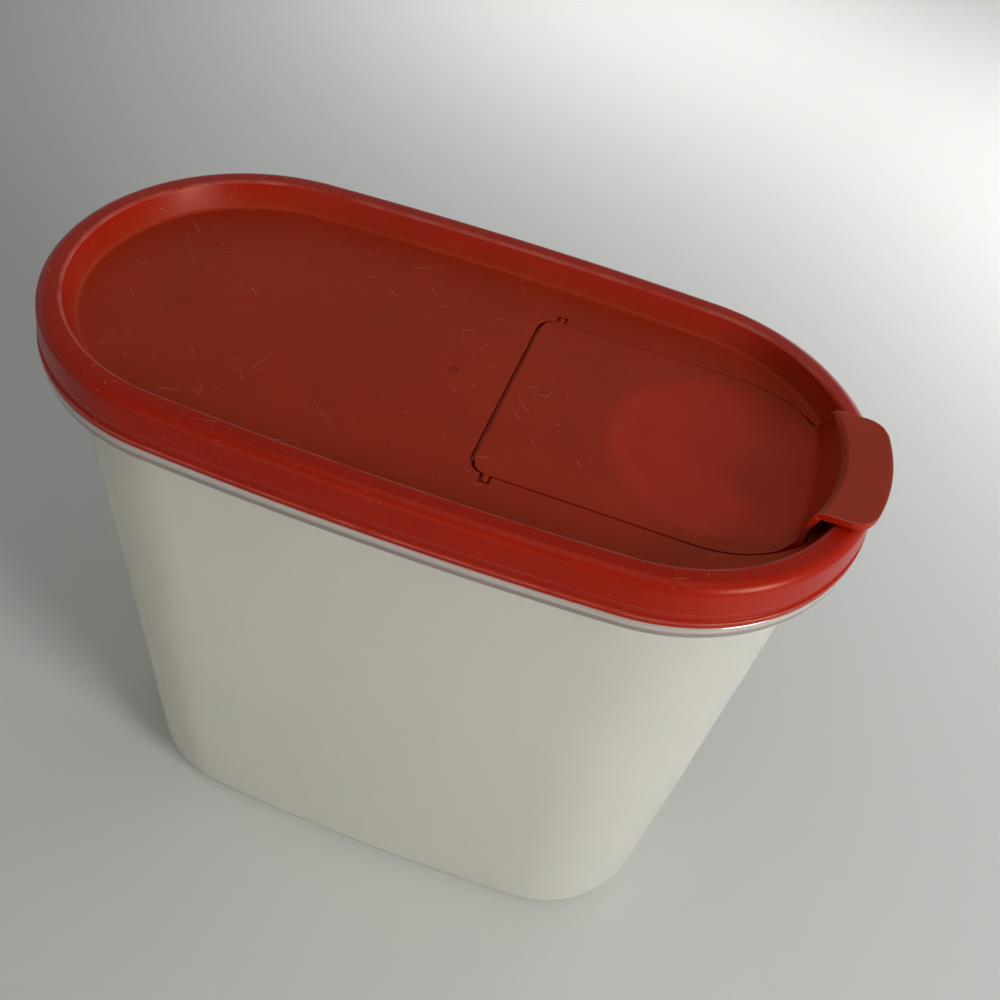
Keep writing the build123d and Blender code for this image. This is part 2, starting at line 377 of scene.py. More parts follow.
def mark(piece, name, value_at):
    """Stores a number from 0 to 1 at each vertex, for the materials to read."""
    values = [value_at(vertex) for vertex in piece.data.vertices]
    piece.data.attributes.new(name, "FLOAT", "POINT").data.foreach_set("value", values)


def mark_edge_wear_and_highlight(piece, sheltered_z):
    """Marks the tightly curved outer edges, which handling wears pale and where edge highlights are painted in.

    The pale edge starts where the surface turns by 0.35 radians in a millimetre and is full at 1.05 radians.
    There is none within 0.6 mm of the sheltered level.
    """
    work = bmesh.new()
    work.from_mesh(piece.data)
    edge_wear_and_highlight = [0.0] * len(work.verts)
    for edge in work.edges:
        if len(edge.link_faces) == 2 and edge.calc_length() > 0:
            across = sum(face.calc_area() for face in edge.link_faces) / 2 / edge.calc_length()
            curve = edge.calc_face_angle_signed(0) / max(across, 0.02 * MM) * MM
            for vertex in edge.verts:
                if abs(vertex.co.z - sheltered_z) > 0.6 * MM:
                    edge_wear_and_highlight[vertex.index] = max(edge_wear_and_highlight[vertex.index], smooth_step((curve - 0.35) / 0.7))
    work.free()
    mark(piece, "edge_wear_and_highlight", lambda vertex: edge_wear_and_highlight[vertex.index])


def finish_piece(piece, cad_node, body, materials):
    """Shades the piece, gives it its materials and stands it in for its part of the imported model."""
    for material in materials:
        piece.data.materials.append(material)
    for face in piece.data.polygons:
        face.use_smooth = True
    piece.data.set_sharp_from_angle(angle=math.radians(42))
    normals = piece.modifiers.new("flat faces stay flat", "WEIGHTED_NORMAL")
    normals.keep_sharp = True
    normals.weight = 60
    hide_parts(cad_node)
    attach(piece, body)


# Tub


def shelf_levels(scene):
    """Levels of the shelf just below the seal and of the shelf's underside."""
    shelf_z = scene.keeper_oval.rest_height - 0.25 * MM
    return shelf_z, shelf_z - scene.keeper_tub.flange_wall


def tub_path(scene):
    """The tub's section, from the middle of its base out and up, over the rim, and back down inside."""
    tub = scene.keeper_tub
    shelf_z, under_z = shelf_levels(scene)
    lean = math.tan(tub.draft)
    base_inset = tub.mouth_inset + under_z * lean
    floor_inset = base_inset - tub.floor * lean + tub.wall
    mouth_inset = tub.mouth_inset + tub.wall
    flange_inner = tub.flange_inset + tub.flange_wall
    lip_inner = tub.lip_inset + tub.wall
    cap_inset = base_inset + 2.2 * tub.base_radius
    corners = [
        (cap_inset, 0, 0),
        (base_inset, 0, tub.base_radius),
        (tub.mouth_inset, under_z, 0.6 * MM),
        (flange_inner, under_z, 0.5 * MM),
        (flange_inner, under_z - tub.flange_drop, 0.5 * MM),
        (tub.flange_inset, under_z - tub.flange_drop, 0.5 * MM),
        (tub.flange_inset, shelf_z, 1.3 * MM),
        (tub.lip_inset, shelf_z, 0.5 * MM),
        (tub.lip_inset, TUB_HIGH.z, 0.8 * MM),
        (lip_inner, TUB_HIGH.z, 0.8 * MM),
        (lip_inner, shelf_z, 0.8 * MM),
        (mouth_inset, shelf_z, 0.8 * MM),
        (floor_inset, tub.floor, tub.base_radius - tub.wall),
        (cap_inset, tub.floor, 0),
    ]
    return rounded(corners)


def build_tub(scene):
    """The tub, with its flange as a second, clearer finish."""
    path = tub_path(scene)
    tub = piece_from("tub_shell", sweep(oval_ring(scene.keeper_oval), path))
    under_z = shelf_levels(scene)[1]
    flange_low = under_z - scene.keeper_tub.flange_drop
    colours = scene.keeper_colours
    materials = [milky_polypropylene(colours), clear_polypropylene(colours, under_z - 0.4 * MM)]
    finish_piece(tub, "container", "tub", materials)
    flange_inner = scene.keeper_tub.lip_inset + 0.1 * MM
    for face in tub.data.polygons:
        high_enough = face.center.z > flange_low - 0.1 * MM
        face.material_index = int(high_enough and oval_inset(scene.keeper_oval, face.center) < flange_inner)
    return tub


# Seal


def flap_outline(scene, growth, heel_growth, corner_growth):
    """The flap's plan grown by a gap: straight sides, rounded hinge-side corners and a round end."""
    flap = scene.keeper_flap
    half = flap.half_width + growth
    heel = flap.heel_x - heel_growth
    corner = flap.corner_radius + corner_growth
    tab_root = math.sqrt(flap.half_width**2 - flap.tab_half_width**2)
    stop = math.acos(min(1, (tab_root + growth) / half))
    upper = []
    for k in range(33):
        angle = stop + (math.pi / 2 - stop) * k / 32
        upper.append((flap.round_centre_x + half * math.cos(angle), half * math.sin(angle)))
    for k in range(9):
        angle = math.pi / 2 * (1 + k / 8)
        upper.append((heel + corner + corner * math.cos(angle), half - corner + corner * math.sin(angle)))
    return upper + [(x, -y) for x, y in reversed(upper)]


def seal_levels(scene):
    """Named levels of the seal, from its bottom edge up."""
    seal, flap = scene.keeper_seal, scene.keeper_flap
    skirt = scene.keeper_oval.rest_height
    crest = skirt + seal.crest_rise
    panel = crest - seal.panel_sink
    pocket = panel - flap.thickness - 0.3 * MM
    tray = pocket - seal.wall
    collar = tray - 1.5 * MM
    return {"skirt": skirt, "crest": crest, "panel": panel, "pocket": pocket, "tray": tray, "collar": collar}


def seal_path(scene):
    """The seal's section, from the middle of the panel out over the crest, down, and back underneath."""
    seal, z = scene.keeper_seal, seal_levels(scene)
    lean = (seal.panel_inset - seal.crest_inset) / seal.panel_sink
    step = seal.wall * (1 - lean)
    bead_top = z["skirt"] + 1.7 * MM
    groove_top = bead_top + 2.6 * MM
    cap_inset = seal.panel_inset + 2.4 * MM
    roof = z["crest"] - seal.wall
    under = z["panel"] - seal.wall
    corners = [
        (cap_inset, z["panel"], 0),
        (seal.panel_inset, z["panel"], 1.5 * MM),
        (seal.crest_inset, z["crest"], 1.2 * MM),
        (seal.shoulder_inset, z["crest"], seal.shoulder_radius),
        (seal.skirt_inset, groove_top + 0.3 * MM, 0.35 * MM),
        (seal.groove_inset, groove_top - 0.1 * MM, 0.3 * MM),
        (seal.groove_inset, bead_top + 0.4 * MM, 0.3 * MM),
        (seal.bead_inset, bead_top, 0.6 * MM),
        (seal.bead_inset, z["skirt"], 0.4 * MM),
        (seal.groove_inset + 1.2 * MM, z["skirt"], 0.3 * MM),
        (seal.shoulder_inset + seal.wall, roof, 1.4 * MM),
        (seal.crest_inset - step, roof, 0.8 * MM),
        (seal.panel_inset - step, under, 1.5 * MM),
        (cap_inset, under, 0),
    ]
    return rounded(corners)


def build_seal(scene):
    """The seal: rim, panel, and the tray, trough, hinge seats and mouth that serve the flap."""
    seal, flap, z = scene.keeper_seal, scene.keeper_flap, seal_levels(scene)
    piece = piece_from("seal_shell", sweep(oval_ring(scene.keeper_oval), seal_path(scene)))
    under = z["panel"] - seal.wall
    inside_panel = 0.5 * MM
    pocket_half = flap.half_width + flap.side_gap
    tray_wall = flap.side_gap + seal.wall
    mouth_radius = flap.plug_radius + 0.5 * MM
    trough_radius = math.hypot(HINGE[0] - flap.heel_x, flap.lug_radius) + 0.35 * MM
    notch_half = flap.lug_radius + 0.4 * MM
    notch_reach = flap.half_width + flap.lug_length + 0.5 * MM
    boss_half = notch_half + seal.wall
    seat_low = HINGE[2] - flap.lug_radius - 1.4 * MM
    roof = under + inside_panel
    above_panel = z["panel"] + 1 * MM

    tray = flap_outline(scene, tray_wall, flap.heel_gap + seal.wall, tray_wall)
    collar = circle_ring(flap.round_centre_x, mouth_radius + seal.wall)
    pocket = flap_outline(scene, flap.side_gap, flap.heel_gap, flap.side_gap + flap.heel_gap / 2)
    mouth = circle_ring(flap.round_centre_x, mouth_radius)
    added = [
        prism(tray, z["tray"], roof),
        trough(trough_radius + seal.wall, pocket_half + seal.wall, roof),
        sweep(collar, [(0, z["collar"]), (0, z["tray"] + inside_panel)]),
    ]
    cuts = [
        prism(pocket, z["pocket"], above_panel),
        sweep(mouth, [(0, z["collar"] - 1 * MM), (0, z["panel"])]),
        trough(trough_radius, pocket_half, z["pocket"] + 0.25 * MM),
    ]
    for side in (-1, 1):
        near, far = sorted((side * (pocket_half - 1 * MM), side * (notch_reach + seal.wall)))
        added.append(box((HINGE[0] - boss_half, near, seat_low), (HINGE[0] + boss_half, far, roof)))
        near, far = sorted((side * (pocket_half - 1 * MM), side * notch_reach))
        cuts.append(bar(flap.lug_radius + 0.1 * MM, near, far))
        cuts.append(box((HINGE[0] - notch_half, near, HINGE[2]), (HINGE[0] + notch_half, far, above_panel)))
    combine(piece, "UNION", added)
    combine(piece, "DIFFERENCE", cuts)

    # The gate mark: a round dimple with a small pip left standing in it
    panel, gate_x = z["panel"], -0.7 * MM
    dimple = sweep(circle_ring(gate_x, 1.4 * MM, 32), [(0, panel - 0.3 * MM), (0, above_panel)])
    combine(piece, "DIFFERENCE", [dimple])
    pip = sweep(circle_ring(gate_x, 0.45 * MM, 24), [(0, panel - 0.5 * MM), (0, panel)])
    combine(piece, "UNION", [pip])

    # The slit round the flap and the gate mark have softened edges
    slit_from = -3 * MM
    soften_edges(
        piece,
        lambda edge: all(abs(v.co.z - panel) < 0.02 * MM and v.co.x > slit_from for v in edge.verts),
        0.16 * MM,
    )
    oval, matt_and_sheen_from = scene.keeper_oval, seal.panel_inset - 1 * MM
    mark_edge_wear_and_highlight(piece, panel)
    # The panel within the crest gets the etched finish and its painted sheen
    mark(piece, "matt_and_sheen", lambda vertex: smooth_step((oval_inset(oval, vertex.co) - matt_and_sheen_from) / MM))
    finish_piece(piece, "seal", "lid", [moulded_polyethylene(scene.keeper_colours)])
    return piece


# Flap


# The thumb tab rises this much from where its climb ends to its tip
TAB_TILT = 0.7 * MM


def in_dish(flap, x, y, slope):
    """1 well inside the flap's dish, 0 outside it, and a smooth slope between."""
    edge = flap.dish_radius + 0.8 * MM
    return smooth_step((edge - math.hypot(x - flap.round_centre_x, y)) / slope)


def flap_section(scene):
    """The flap's top along its middle line: (x, z) points about 0.8 mm apart or closer."""
    flap, z = scene.keeper_flap, seal_levels(scene)
    tab_top = z["crest"] + flap.tab_over_crest
    root_x = flap.round_centre_x + math.sqrt(flap.half_width**2 - flap.tab_half_width**2)
    rise_x = root_x - 1.8 * MM
    rise_run = 5.6 * MM
    corners = [
        (flap.heel_x, z["panel"], 0),
        (rise_x, z["panel"], 4.5 * MM),
        (rise_x + rise_run, tab_top - TAB_TILT, 2.4 * MM),
        (FLAP_HIGH.x, tab_top, 0),
    ]
    bends = rounded(corners, math.radians(7))
    path = [bends[0]]
    spacing = 0.8 * MM
    for start, stop in zip(bends, bends[1:]):
        steps = max(1, round((stop - start).length / spacing))
        path += [start.lerp(stop, k / steps) for k in range(1, steps + 1)]
    return path


def build_flap(scene):
    """The flap: plate with its dish, thumb tab, plug ring and hinge lugs."""
    piece = piece_from("flap_shell", flap_plate(scene))
    flap, z = scene.keeper_flap, seal_levels(scene)
    under = z["panel"] - flap.thickness
    edge = piece.modifiers.new("rounded edges", "BEVEL")
    edge.width = 0.35 * MM
    edge.segments = 3
    edge.limit_method = "ANGLE"
    edge.angle_limit = math.radians(55)
    settle(piece)

    # The plug ring hangs from a round pad that thickens the plate under the dish
    inside_plate = under + 0.2 * MM
    ring_wall = 1.4 * MM
    pad_reach = 24 * MM
    plug = rounded(
        [
            (pad_reach, inside_plate, 0),
            (0, inside_plate, 0),
            (0, under - flap.plug_depth, 0.5 * MM),
            (ring_wall, under - flap.plug_depth, 0.5 * MM),
            (ring_wall, under - flap.dish_depth, 0.6 * MM),
            (pad_reach, under - flap.dish_depth, 0),
        ]
    )
    added = [sweep(circle_ring(flap.round_centre_x, flap.plug_radius), plug)]

    # Each lug is a round bar with a narrow flat crown, just under the panel's level
    crown_half = 0.6 * MM
    crown_top = z["panel"] - 0.15 * MM
    for side in (-1, 1):
        near, far = sorted((side * (flap.half_width - 0.8 * MM), side * (flap.half_width + flap.lug_length)))
        added.append(bar(flap.lug_radius, near, far, 40))
        added.append(box((HINGE[0] - crown_half, near, HINGE[2]), (HINGE[0] + crown_half, far, crown_top)))
    combine(piece, "UNION", added)
    mark_edge_wear_and_highlight(piece, z["panel"])
    # Faces turned upwards get the etched finish and its painted sheen
    mark(piece, "matt_and_sheen", lambda vertex: smooth_step((vertex.normal.z - 0.1) / 0.3))
    mark(piece, "dish", lambda vertex: in_dish(flap, vertex.co.x, vertex.co.y, 4 * MM))
    finish_piece(piece, "pour_flap", "flap", [moulded_polyethylene(scene.keeper_colours)])
    return piece


def flap_half_widths(scene, path):
    """Half of the flap's width at each point of its section: plate, round end, neck and tab."""
    flap = scene.keeper_flap
    corner = flap.corner_radius
    neck_half = 23.4 * MM
    neck_run = 9.0 * MM
    neck_x = flap.round_centre_x + math.sqrt(flap.half_width**2 - neck_half**2)
    travelled, lengths = 0.0, []
    for k, point in enumerate(path):
        travelled += (point - path[k - 1]).length if k else 0
        lengths.append(travelled)
    neck_start = lengths[min(range(len(path)), key=lambda k: abs(path[k].x - neck_x))]

    def half_width(x, along):
        from_heel = x - flap.heel_x
        to_tip = FLAP_HIGH.x - x
        if from_heel < corner:
            return flap.half_width - corner + math.sqrt(corner**2 - (corner - from_heel) ** 2)
        if x < flap.round_centre_x:
            return flap.half_width
        if along <= neck_start:
            return math.sqrt(flap.half_width**2 - (x - flap.round_centre_x) ** 2)
        if to_tip < corner:
            return flap.tab_half_width - corner + math.sqrt(corner**2 - (corner - to_tip) ** 2)
        left = max(0, 1 - (along - neck_start) / neck_run)
        return flap.tab_half_width + (neck_half - flap.tab_half_width) * smooth_step(left)

    return [half_width(point.x, along) for point, along in zip(path, lengths)]


def flap_plate(scene):
    """The plate and tab as two skins of rows across the flap, joined round their edge.

    Past the round end the rows bend to follow the keeper's end, a little on the plate and fully on the tab,
    and the tab is up to three tenths thicker than the plate.
    """
    flap, z = scene.keeper_flap, seal_levels(scene)
    end_x = oval_arcs(scene.keeper_oval)[1]
    path = flap_section(scene)
    halves = flap_half_widths(scene, path)
    climb = z["crest"] + flap.tab_over_crest - TAB_TILT - z["panel"]
    bend_from, bend_run, plate_bend = 96 * MM, 5 * MM, 0.12
    dish_slope = 9.0 * MM
    made = bmesh.new()
    columns = 88
    skins = []
    for offset in (0, flap.thickness):
        rows = []
        for k, point in enumerate(path):
            ahead = path[min(k + 1, len(path) - 1)] - path[max(k - 1, 0)]
            facing = Vector((-ahead.y, ahead.x)).normalized()
            up = (point.y - z["panel"]) / climb
            here = point - facing * offset * (1 + 0.3 * smooth_step(2 * up - 1))
            here.x = min(here.x, FLAP_HIGH.x)
            bend = plate_bend * smooth_step((point.x - bend_from) / bend_run) + (1 - plate_bend) * min(1, up)
            row = []
            for c in range(columns + 1):
                y = halves[k] * (2 * c / columns - 1)
                reach = point.x - end_x
                pull = bend * (reach - math.sqrt(reach**2 - y**2)) if reach > abs(y) else 0
                height = here.y
                if not offset:
                    sunk = in_dish(flap, point.x - pull, y, dish_slope)
                    height -= flap.dish_depth * sunk * (1 - smooth_step(up * 5))
                row.append(made.verts.new((here.x - pull, y, height)))
            rows.append(row)
        for row, following in zip(rows, rows[1:]):
            for c in range(columns):
                made.faces.new((row[c], row[c + 1], following[c + 1], following[c]))
        skins.append(rows)
    top, bottom = skins
    rims = [[rows[0] for rows in skins], [rows[-1] for rows in skins]]
    rims += [[[row[c] for row in rows] for rows in skins] for c in (0, columns)]
    for upper, lower in rims:
        for k in range(len(upper) - 1):
            made.faces.new((upper[k], upper[k + 1], lower[k + 1], lower[k]))
    bmesh.ops.recalc_face_normals(made, faces=made.faces)
    return made


# Materials


# The moulds' fine grain stands no more than 0.05 mm high
BUMP = {"Strength": 0.1, "Distance": 0.05 * MM}

# Direction of each set of scratches in degrees, the length its noise is stretched to and the level that shows
SCRATCHES = ((20, 16.0, 0.81), (75, 20.0, 0.82), (-40, 14.0, 0.81), (130, 1.0, 0.88))
SCRATCH_WIDTH = 0.45


def scratches(tree, place, turn, long, least):
    """Thin streaks in one direction: 1 in the streak, 0 outside it."""
    stretch = (long * MM, SCRATCH_WIDTH * MM, SCRATCH_WIDTH * MM)
    laid = node(
        tree,
        "ShaderNodeMapping",
        {"vector_type": "TEXTURE", "Rotation": (0, 0, math.radians(turn)), "Scale": stretch},
        {"Vector": place},
    )
    streaks = node(tree, "ShaderNodeTexNoise", {"Scale": 1.0, "Detail": 0.0}, {"Vector": laid.outputs[0]})
    return node(
        tree,
        "ShaderNodeMapRange",
        {"From Min": least, "From Max": least + 0.05},
        {"Value": streaks.outputs["Fac"]},
    ).outputs["Result"]


def moulded_polyethylene(colours):
    """Red low-density polyethylene, injection moulded.

    Waxy skin: the walls are polished, and the panel and flap are dull from a finely etched part of the mould,
    with a greyish sheen painted into their red.
    Soft plastic marks easily, so faint short scratches lie on it and the outer edges are worn pale, with edge
    highlights painted in as the same pale red.
    """
    material, tree = blank_material("red_polyethylene_moulded")
    place = node(tree, "ShaderNodeTexCoord").outputs["Object"]
    edge_wear_and_highlight, matt_and_sheen, dish = (
        node(tree, "ShaderNodeAttribute", {"attribute_name": name}).outputs["Fac"]
        for name in ("edge_wear_and_highlight", "matt_and_sheen", "dish")
    )

    # The polished walls, the etched panel and the dish each have their own red, and the etched red has a
    # greyish sheen painted in
    base = node(
        tree,
        "ShaderNodeMix",
        {"data_type": "RGBA", 6: linear(colours.seal), 7: linear(colours.seal_matt_and_sheen)},
        {"Factor": matt_and_sheen},
    )
    base = node(
        tree,
        "ShaderNodeMix",
        {"data_type": "RGBA", 7: linear(colours.seal_dish)},
        {"Factor": dish, 6: base.outputs[2]},
    )

    # The colour drifts lighter and darker by up to 0.14 over about 25 mm
    drift = node(tree, "ShaderNodeTexNoise", {"Scale": 1 / (25 * MM), "Detail": 3.0}, {"Vector": place})
    drift = node(tree, "ShaderNodeMapRange", {"To Min": 0.86, "To Max": 1.14}, {"Value": drift.outputs[0]})
    base = node(
        tree,
        "ShaderNodeVectorMath",
        {"operation": "SCALE"},
        {0: base.outputs[2], "Scale": drift.outputs["Result"]},
    )

    # Scratches 4 to 8 mm long and 0.2 mm wide, bent a little, in loose groups about 40 mm across,
    # and fainter in the dish
    bend = node(tree, "ShaderNodeTexNoise", {"Scale": 1 / (12 * MM), "Detail": 0.0}, {"Vector": place})
    bend = node(
        tree,
        "ShaderNodeVectorMath",
        {"operation": "SCALE", "Scale": 3 * MM},
        {0: bend.outputs["Color"]},
    )
    bent = node(tree, "ShaderNodeVectorMath", {"operation": "ADD"}, {0: place, 1: bend.outputs[0]}).outputs[0]
    marks, *others = (scratches(tree, bent, *spec) for spec in SCRATCHES)
    for other in others:
        marks = node(tree, "ShaderNodeMath", {"operation": "MAXIMUM"}, {0: marks, 1: other}).outputs[0]
    groups = node(
        tree,
        "ShaderNodeTexNoise",
        {"noise_dimensions": "4D", "W": 3.0, "Scale": 1 / (40 * MM), "Detail": 1.0},
        {"Vector": place},
    )
    groups = node(
        tree,
        "ShaderNodeMapRange",
        {"From Min": 0.42, "From Max": 0.6},
        {"Value": groups.outputs["Fac"]},
    )
    kept = node(tree, "ShaderNodeMath", {"operation": "MULTIPLY_ADD", 1: -0.7, 2: 1.0}, {0: dish})
    for share in (groups.outputs[0], kept.outputs[0]):
        marks = node(tree, "ShaderNodeMath", {"operation": "MULTIPLY"}, {0: marks, 1: share}).outputs[0]

    # Worn edges with painted edge highlights, stronger and weaker over about 8 mm
    patchy = node(tree, "ShaderNodeTexNoise", {"Scale": 1 / (8 * MM), "Detail": 4.0}, {"Vector": place})
    patchy = node(
        tree,
        "ShaderNodeMapRange",
        {"From Min": 0.25, "From Max": 0.65},
        {"Value": patchy.outputs["Fac"]},
    )
    rubbed_and_highlit = node(tree, "ShaderNodeMath", {"operation": "MULTIPLY"}, {0: edge_wear_and_highlight, 1: patchy.outputs[0]})
    rubbed_and_highlit = node(tree, "ShaderNodeMath", {"operation": "MULTIPLY", 1: 0.32}, {0: rubbed_and_highlit.outputs[0]})
    pale = node(
        tree,
        "ShaderNodeMath",
        {"operation": "MULTIPLY_ADD", 1: 0.38, "use_clamp": True},
        {0: marks, 2: rubbed_and_highlit.outputs[0]},
    )
    base = node(
        tree,
        "ShaderNodeMix",
        {"data_type": "RGBA", 7: linear(colours.seal_worn_and_highlight)},
        {"Factor": pale.outputs[0], 6: base.outputs[0]},
    )

    # Roughness 0.28 on the polished walls and 0.44 where the mould is etched, and up to 0.05 more in patches
    gloss = node(tree, "ShaderNodeMath", {"operation": "MULTIPLY_ADD", 1: 0.16, 2: 0.28}, {0: matt_and_sheen})
    gloss = node(
        tree,
        "ShaderNodeMath",
        {"operation": "MULTIPLY_ADD", 1: 0.05},
        {0: patchy.outputs[0], 2: gloss.outputs[0]},
    )

    # The etched grain is far finer than 0.1 mm, and is drawn at 0.4 mm so that it shows
    grain = node(tree, "ShaderNodeTexNoise", {"Scale": 1 / (0.4 * MM), "Detail": 2.0}, {"Vector": place})
    height = node(tree, "ShaderNodeMath", {"operation": "MULTIPLY"}, {0: grain.outputs["Fac"], 1: matt_and_sheen})
    height = node(tree, "ShaderNodeMath", {"operation": "SUBTRACT"}, {0: height.outputs[0], 1: marks})
    bump = node(tree, "ShaderNodeBump", BUMP, {"Height": height.outputs[0]})
    skin = node(
        tree,
        "ShaderNodeBsdfPrincipled",
        {
            "IOR": 1.51,
            "Specular IOR Level": 0.22,
            "Specular Tint": (1.0, 0.6, 0.46, 1.0),
            "Subsurface Weight": 0.12,
            "Subsurface Radius": (1.0, 0.12, 0.06),
            "Subsurface Scale": 2.5 * MM,
        },
        {"Base Color": base.outputs[2], "Roughness": gloss.outputs[0], "Normal": bump.outputs["Normal"]},
    )
    node(tree, "ShaderNodeOutputMaterial", (), {"Surface": skin.outputs["BSDF"]})
    return material


def milky_polypropylene(colours):
    """Natural polypropylene, injection moulded: cloudy, lets light through, blurs the shapes behind it."""
    material, tree = blank_material("milky_polypropylene_moulded")
    place = node(tree, "ShaderNodeTexCoord").outputs["Object"]

    # The melt's flow leaves faint cloudy bands about 60 mm wide
    cloud = node(tree, "ShaderNodeTexNoise", {"Scale": 1 / (60 * MM), "Detail": 2.0}, {"Vector": place})
    body = linear(colours.tub)
    base = node(
        tree,
        "ShaderNodeMix",
        {"data_type": "RGBA", 6: [0.95 * c for c in body[:3]] + [1], 7: [1.04 * c for c in body[:3]] + [1]},
        {"Factor": cloud.outputs["Fac"]},
    )

    # Satin grain from the mould, really finer than 0.1 mm and drawn at 0.5 mm so that it shows
    # The high roughness stands for the light scattered inside the wall
    grain = node(tree, "ShaderNodeTexNoise", {"Scale": 1 / (0.5 * MM), "Detail": 2.0}, {"Vector": place})
    gloss = node(tree, "ShaderNodeMapRange", {"To Min": 0.7, "To Max": 0.8}, {"Value": cloud.outputs["Fac"]})
    bump = node(tree, "ShaderNodeBump", BUMP, {"Height": grain.outputs["Fac"]})
    skin = node(
        tree,
        "ShaderNodeBsdfPrincipled",
        {
            "IOR": 1.49,
            "Subsurface Weight": 1.0,
            "Subsurface Radius": (1.0, 0.95, 0.8),
            "Subsurface Scale": 4 * MM,
            "Transmission Weight": 0.6,
        },
        {"Base Color": base.outputs[2], "Roughness": gloss.outputs[0], "Normal": bump.outputs["Normal"]},
    )
    node(tree, "ShaderNodeOutputMaterial", (), {"Surface": skin.outputs["BSDF"]})
    return material


def clear_polypropylene(colours, edge_z):
    """The flange: thinner polished polypropylene, clearer and shinier than the wall, with painted shade making
    it darker below edge_z.
    """
    material, tree = blank_material("clear_polypropylene_polished")
    place = node(tree, "ShaderNodeTexCoord").outputs["Object"]
    level = node(tree, "ShaderNodeSeparateXYZ", (), {"Vector": place}).outputs["Z"]
    # Painted shade: the flange's hanging band below edge_z is darker
    low = node(
        tree,
        "ShaderNodeMapRange",
        {"From Min": edge_z + 0.3 * MM, "From Max": edge_z - 0.3 * MM},
        {"Value": level},
    )
    base = node(
        tree,
        "ShaderNodeMix",
        {"data_type": "RGBA", 6: linear(colours.flange), 7: linear(colours.flange_low)},
        {"Factor": low.outputs["Result"]},
    )

    # The polish is uneven over about 5 mm, which breaks up the highlight
    patchy = node(tree, "ShaderNodeTexNoise", {"Scale": 1 / (5 * MM), "Detail": 3.0}, {"Vector": place})
    gloss = node(tree, "ShaderNodeMapRange", {"To Min": 0.08, "To Max": 0.22}, {"Value": patchy.outputs[0]})
    skin = node(
        tree,
        "ShaderNodeBsdfPrincipled",
        {
            "IOR": 1.49,
            "Transmission Weight": 0.15,
            "Coat Weight": 0.6,
            "Coat Roughness": 0.06,
            "Subsurface Weight": 1.0,
            "Subsurface Radius": (1.0, 0.9, 0.85),
            "Subsurface Scale": 0.8 * MM,
        },
        {"Base Color": base.outputs[2], "Roughness": gloss.outputs["Result"]},
    )
    node(tree, "ShaderNodeOutputMaterial", (), {"Surface": skin.outputs["BSDF"]})
    return material


def painted_floor(colours):
    """A plain painted sheet with a low satin sheen, which shows at a flat angle."""
    material, tree = blank_material("satin_paint_floor")
    place = node(tree, "ShaderNodeTexCoord").outputs["Object"]

    # The roller leaves patches about 30 mm wide that shine a little more or less
    roller = node(tree, "ShaderNodeTexNoise", {"Scale": 1 / (30 * MM), "Detail": 2.0}, {"Vector": place})
    gloss = node(tree, "ShaderNodeMapRange", {"To Min": 0.58, "To Max": 0.64}, {"Value": roller.outputs[0]})
    skin = node(
        tree,
        "ShaderNodeBsdfPrincipled",
        {"Base Color": linear(colours.floor), "IOR": 1.5},
        {"Roughness": gloss.outputs["Result"]},
    )
    node(tree, "ShaderNodeOutputMaterial", (), {"Surface": skin.outputs["BSDF"]})
    return material


# Stage


# Name, place, what it points at, width in metres, spread in degrees and power in watts of each soft lamp
LAMPS = (
    ("softbox right", (0.9, -0.44, 0.5), (0, 0, 0.15), 0.34, 180, 7.2),
    ("softbox behind", (0.65, 1.35, 0.5), (0, 0, 0.15), 0.9, 180, 3.5),
    ("softbox above", (0.1, -0.15, 1.3), (0, 0, 0.15), 1.0, 180, 2.8),
    ("softbox front", (-0.25, -1.05, 0.25), (0, 0, 0.15), 0.8, 180, 1.3),
    ("floor light behind", (-0.1, 0.85, 0.6), (-0.1, 0.85, 0), 0.5, 90, 1.2),
    ("floor light right", (0.5, 0.6, 0.6), (0.5, 0.6, 0), 0.5, 90, 1.4),
)

# The world's weak light on the object, and how pale it looks to the camera, in gloss and through the tub
ROOM_LIGHT = 0.12
BACKDROP = 0.5


